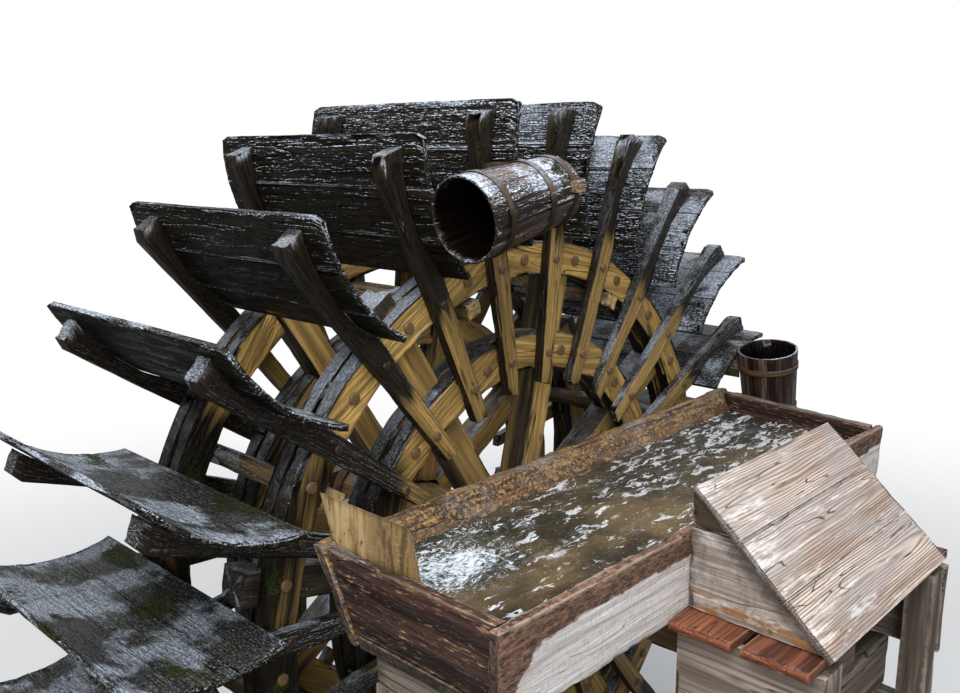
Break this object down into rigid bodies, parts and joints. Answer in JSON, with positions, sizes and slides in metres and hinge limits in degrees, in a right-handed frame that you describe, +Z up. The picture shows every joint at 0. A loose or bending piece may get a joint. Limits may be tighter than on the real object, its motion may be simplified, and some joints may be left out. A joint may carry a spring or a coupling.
{
  "type": "water-lifting mill wheel with trough",
  "caption": "Undershot timber mill wheel with curved paddles and stave buckets that lift water into a plank trough, on post frames with a boarded bearing cover.",
  "frame": {"origin": "on the stream bed, under the middle of the bounding box; the wheel's axle is at X = 0", "axes": "+Z up, +Y along the axle from the trough's side to the far bearing, +X along the trough"},
  "size_m": [3.2834, 2.5756, 3.3717],
  "materials": {
    "wet_paddle_wood": "satin",
    "arm_wood": "satin",
    "ring_wood": "satin",
    "axle_wood": "matte",
    "bucket_wood": "satin",
    "hoop_wood": "satin",
    "iron": "matte",
    "sheet_iron": "satin",
    "trough_wood": "satin",
    "stand_wood": "matte",
    "block_wood": "matte",
    "new_board_wood": "satin",
    "grey_plank_wood": "matte"
  },
  "bodies": {
    "frame": {"trough_near_wall": "trough_wood", "trough_far_wall": "trough_wood", "trough_floor": "trough_wood", "trough_left_end": "trough_wood", "trough_right_end": "trough_wood", "splash_board": "sheet_iron", "trough_bearers": "stand_wood", "trough_legs": "stand_wood", "near_posts": "stand_wood", "near_rails": "stand_wood", "near_beam": "stand_wood", "near_bearing": "block_wood", "far_posts": "stand_wood", "far_rails": "stand_wood", "far_beam": "stand_wood", "far_bearing": "block_wood", "near_side_planks": "stand_wood", "cover_base_boards": "new_board_wood", "cover_gables": "grey_plank_wood", "cover_roof": "grey_plank_wood"},
    "wheel": {"axle": "axle_wood", "axle_pins": "iron", "axle_bands": "iron", "near_spokes": "ring_wood", "far_spokes": "ring_wood", "near_outer_ring": "ring_wood", "near_inner_ring": "ring_wood", "far_outer_ring": "ring_wood", "far_inner_ring": "ring_wood", "near_arms": "arm_wood", "far_arms": "arm_wood", "outer_boards": "wet_paddle_wood", "middle_boards": "wet_paddle_wood", "inner_boards": "wet_paddle_wood", "tie_bars": "ring_wood", "buckets": "bucket_wood", "bucket_hoops": "hoop_wood", "bucket_clasps": "bucket_wood", "bucket_brackets": "bucket_wood"}
  },
  "joints": [
    {"name": "wheel_spin", "type": "hinge", "parent": "frame", "child": "wheel", "pos_m": [0, 0, 1.73], "axis": [0, -1, 0], "continuous": true}
  ]
}
